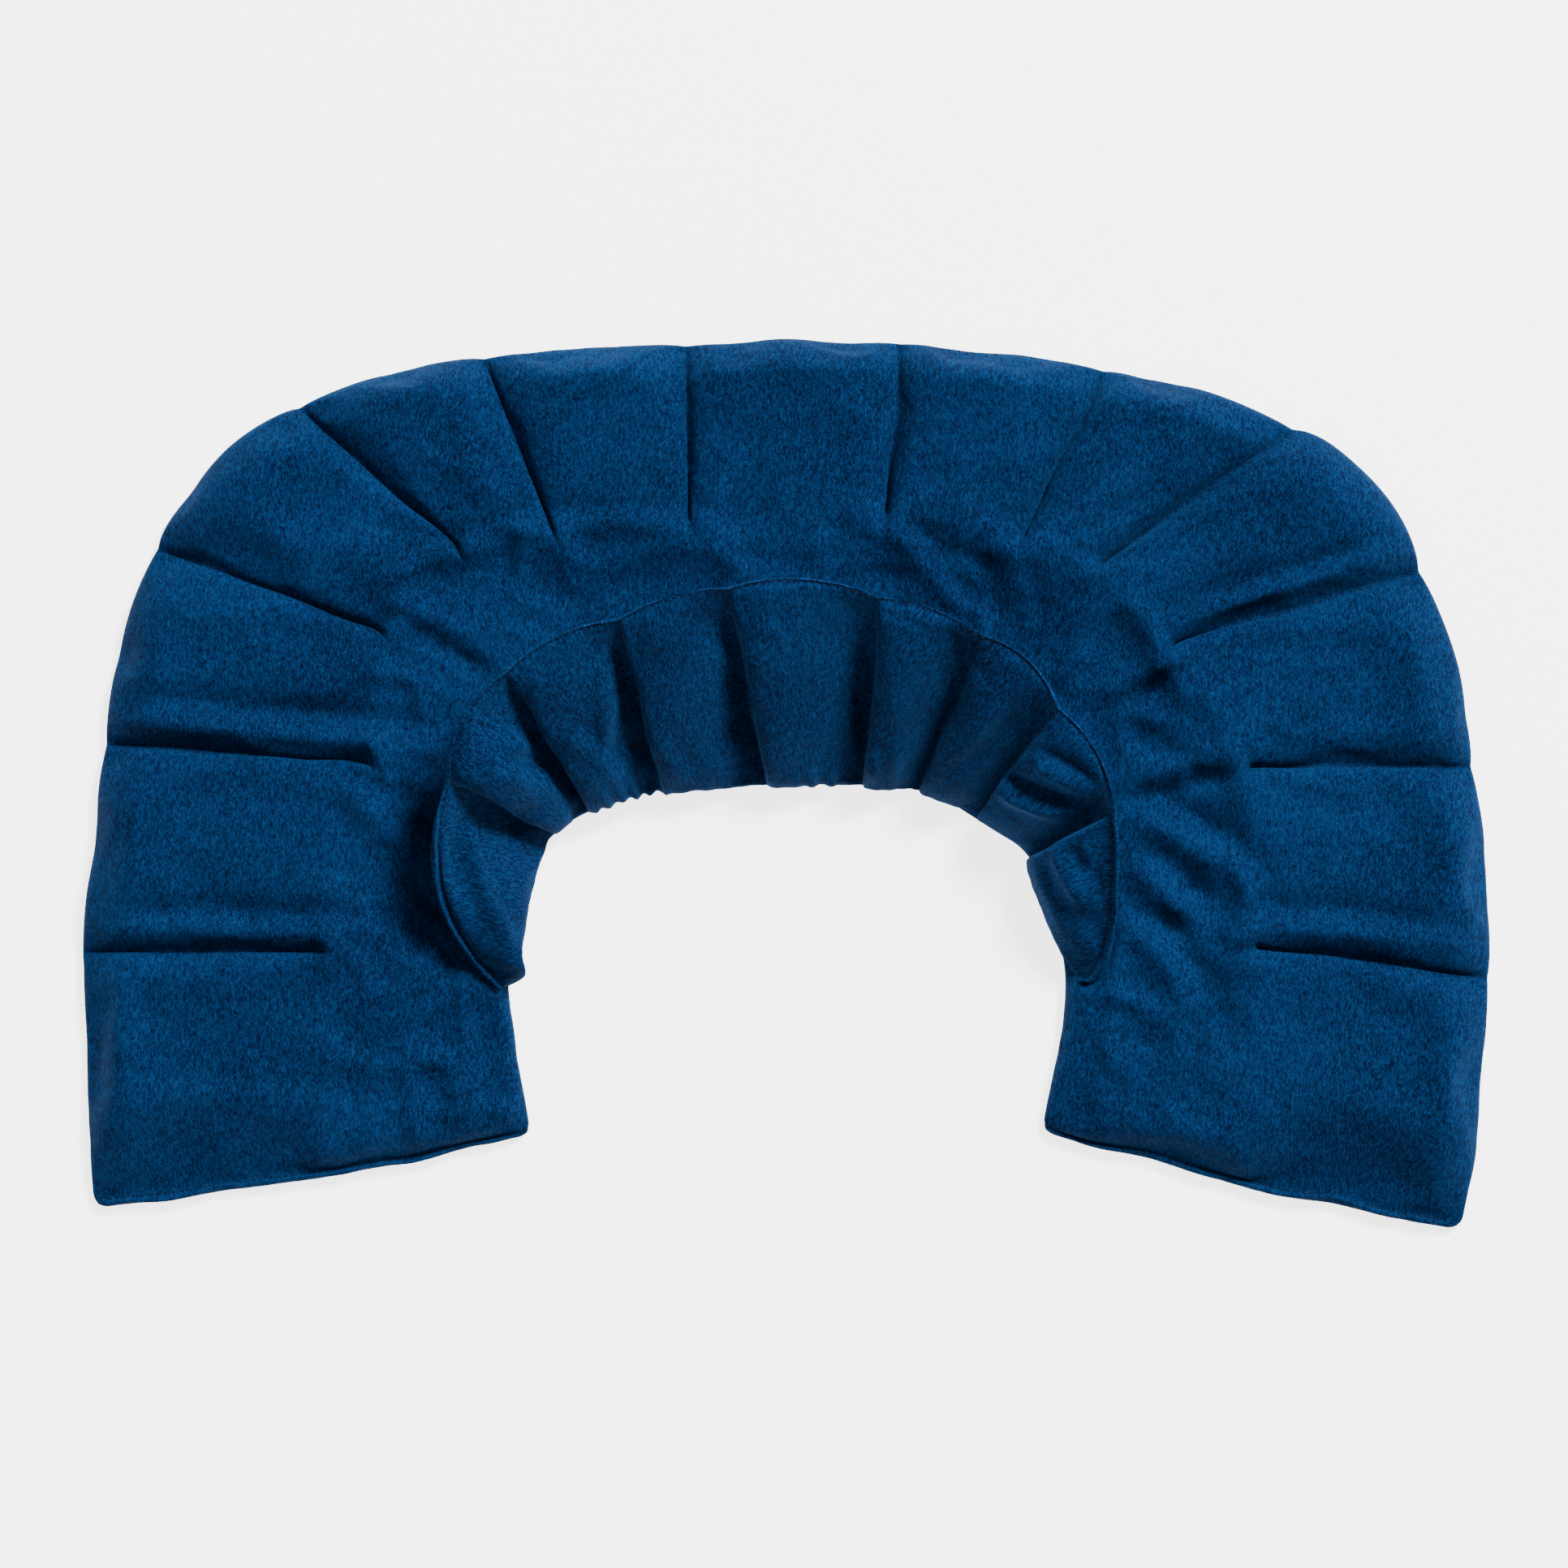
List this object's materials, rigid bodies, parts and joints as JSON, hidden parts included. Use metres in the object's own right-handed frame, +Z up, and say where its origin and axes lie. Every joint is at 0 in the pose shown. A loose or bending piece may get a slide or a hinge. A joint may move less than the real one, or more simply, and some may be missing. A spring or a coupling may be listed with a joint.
{
  "type": "neck and shoulder wrap",
  "caption": "Quilted plush neck and shoulder wrap: a bead-filled horseshoe body with radial channels, folding leg ends and a standing crescent collar.",
  "frame": {"origin": "on the surface that the wrap lies on, midway across and midway from the back edge to the leg ends", "axes": "+X across the shoulders, +Y towards the wearer's back, away from the neck opening, +Z up"},
  "size_m": [0.6002, 0.378, 0.062],
  "materials": {
    "plush": "matte",
    "thread": "satin",
    "beads": "matte"
  },
  "bodies": {
    "root": {"bead_charge_back": "beads", "bead_charge_left_1": "beads", "bead_charge_left_2": "beads", "bead_charge_left_3": "beads", "bead_charge_left_4": "beads", "bead_charge_left_5": "beads", "bead_charge_right_1": "beads", "bead_charge_right_2": "beads", "bead_charge_right_3": "beads", "bead_charge_right_4": "beads", "bead_charge_right_5": "beads", "bottom_cover_back": "plush", "collar_charge_1": "beads", "collar_charge_2": "beads", "collar_charge_3": "beads", "collar_charge_7": "beads", "collar_charge_8": "beads", "collar_charge_9": "beads", "collar_face_left": "plush", "collar_face_right": "plush", "collar_lining_left": "plush", "collar_lining_right": "plush", "collar_quilting_threads_left": "thread", "collar_quilting_threads_right": "thread", "collar_rim_thread_left": "thread", "collar_rim_thread_right": "thread", "fold_thread_left_leg": "thread", "fold_thread_right_leg": "thread", "neckline_thread": "thread", "quilting_threads": "thread", "top_cover_back": "plush"},
    "left_leg": {"bead_charge_left_leg": "beads", "bottom_cover_left_leg": "plush", "closing_thread_left_leg": "thread", "top_cover_left_leg": "plush"},
    "right_leg": {"bead_charge_right_leg": "beads", "bottom_cover_right_leg": "plush", "closing_thread_right_leg": "thread", "top_cover_right_leg": "plush"},
    "collar": {"collar_charge_4": "beads", "collar_charge_5": "beads", "collar_charge_6": "beads", "collar_face_back": "plush", "collar_lining_back": "plush", "collar_quilting_threads_back": "thread", "collar_rim_thread_back": "thread"}
  },
  "joints": [
    {"name": "left_leg_fold", "type": "hinge", "parent": "root", "child": "left_leg", "pos_m": [-0.1195, -0.087, 0.002], "axis": [-0.9988, 0.0498, 0], "range_deg": [-90, 90]},
    {"name": "right_leg_fold", "type": "hinge", "parent": "root", "child": "right_leg", "pos_m": [0.1195, -0.087, 0.002], "axis": [-0.9988, -0.0498, 0], "range_deg": [-90, 90]},
    {"name": "collar_tip", "type": "hinge", "parent": "root", "child": "collar", "pos_m": [0, 0.005, 0.004], "axis": [1, 0, 0], "range_deg": [0, 60]}
  ]
}
